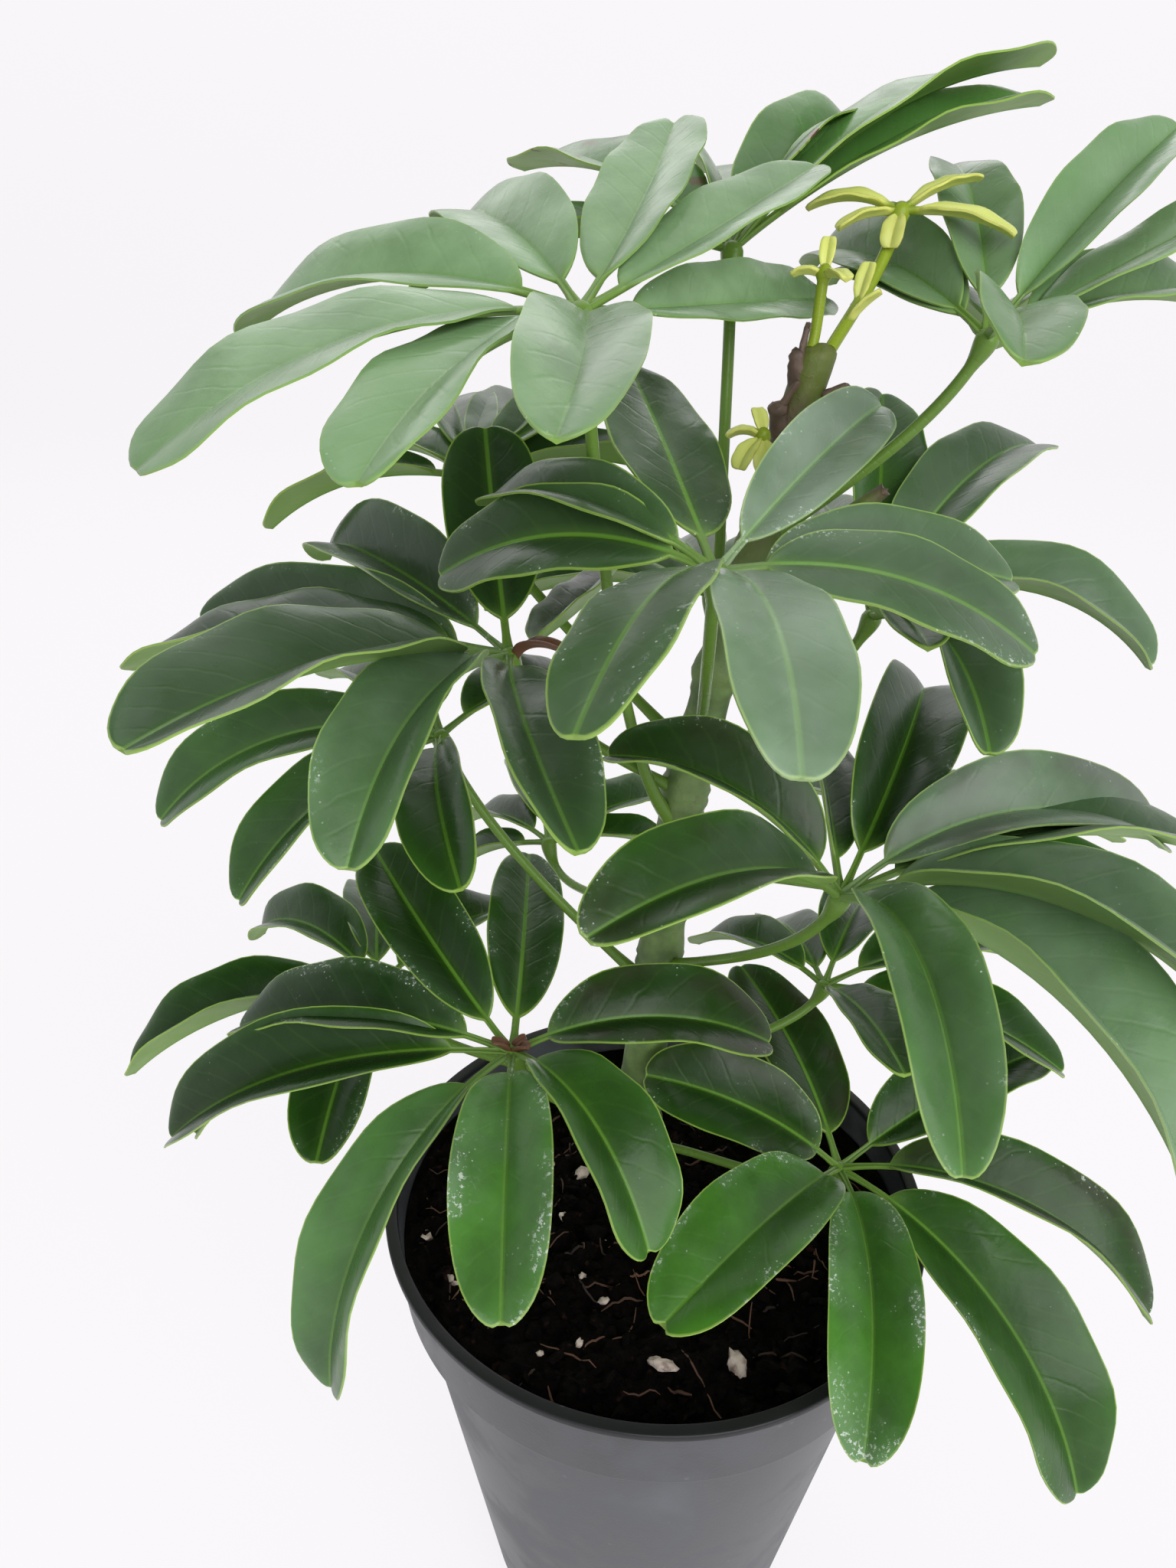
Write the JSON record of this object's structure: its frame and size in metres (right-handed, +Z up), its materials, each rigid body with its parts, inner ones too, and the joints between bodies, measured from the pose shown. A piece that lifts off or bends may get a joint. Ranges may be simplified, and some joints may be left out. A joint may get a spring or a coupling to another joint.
{
  "type": "potted dwarf umbrella tree",
  "caption": "Small umbrella tree with glossy dark green palmate leaves on one leaning stem, in a round tapered black nursery pot filled with dark potting mix.",
  "frame": {"origin": "centre of the pot's flat underside, on the pot's axis", "axes": "+Z up along the pot's axis, -Y towards the viewer of the picture, +X to the viewer's right"},
  "size_m": [0.2358, 0.2043, 0.3444],
  "materials": {
    "pot_plastic": "satin charcoal plastic with a thin pale dust film",
    "potting_mix": "damp, matt, crumbly mix of peat and bark with white perlite",
    "stem": "green bark with brown woody scars, matt",
    "leaf": "leathery dark green leaf with a soft gloss, paler veins and yellow-green margin",
    "young_leaf": "pale yellow-green new growth, soft sheen"
  },
  "bodies": {
    "root": {"pot": "pot_plastic", "soil": "potting_mix", "stem": "stem", "leaf_crown_left": "leaf", "leaf_crown_back": "leaf", "leaf_crown_right": "leaf", "leaf_upper_front": "leaf", "leaf_upper_left": "leaf", "leaf_middle_left": "leaf", "leaf_low_front_left": "leaf", "leaf_low_front_right": "leaf", "leaf_middle_right": "leaf", "leaf_upper_right": "leaf", "leaf_low_left": "leaf", "leaf_low_right": "leaf", "leaf_upper_back_left": "leaf", "leaf_middle_back_left": "leaf", "leaf_upper_back": "leaf", "leaf_middle_back_right": "leaf", "young_leaf_top": "young_leaf", "young_leaf_small": "young_leaf", "young_leaf_side": "young_leaf"}
  },
  "joints": []
}
